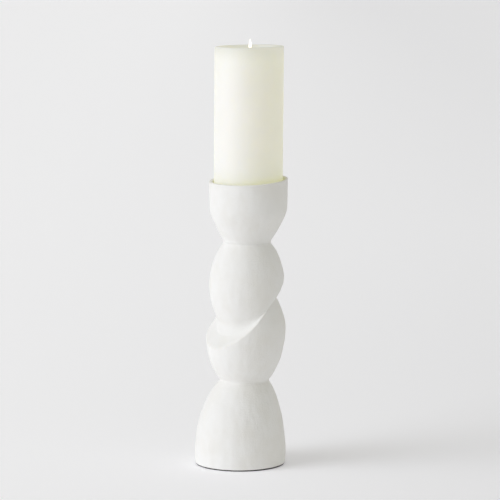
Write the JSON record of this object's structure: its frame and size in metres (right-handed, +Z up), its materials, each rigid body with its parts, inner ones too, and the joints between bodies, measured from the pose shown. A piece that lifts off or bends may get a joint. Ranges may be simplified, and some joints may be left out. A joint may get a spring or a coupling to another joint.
{
  "type": "pillar candlestick",
  "caption": "Painted wood candlestick of stacked carved rounded forms, with a slanting cut between its bulbs and a cup that seats a thick pillar candle, which lifts out.",
  "frame": {"origin": "centre of the underside of the pad under the foot, on the surface that the candlestick stands on", "axes": "+Z up, +X to the right and +Y to the back, seen from the side where the crescent ledge of the slanting cut shows at the left"},
  "size_m": [0.0996, 0.0976, 0.4481],
  "materials": {
    "painted_wood": "chalky matt off-white paint over hand-carved wood",
    "dowel_wood": "bare beech, glued into its holes",
    "pad_felt": "dark pressed felt",
    "pan_steel": "dull pressed sheet steel",
    "candle_wax": "ivory wax, slightly translucent",
    "wick_cotton": "braided cotton, charred at its tip"
  },
  "bodies": {
    "holder": {"base_pad": "pad_felt", "foot": "painted_wood", "lower_neck_dowel": "dowel_wood", "lower_bulb": "painted_wood", "waist_dowel": "dowel_wood", "upper_bulb": "painted_wood", "upper_neck_dowel": "dowel_wood", "cup": "painted_wood", "drip_pan": "pan_steel"},
    "candle": {"candle": "candle_wax", "wick": "wick_cotton"}
  },
  "joints": [
    {"name": "candle_lift", "type": "slide", "parent": "holder", "child": "candle", "axis": [0, 0, 1], "range_m": [0, 0.04]}
  ]
}
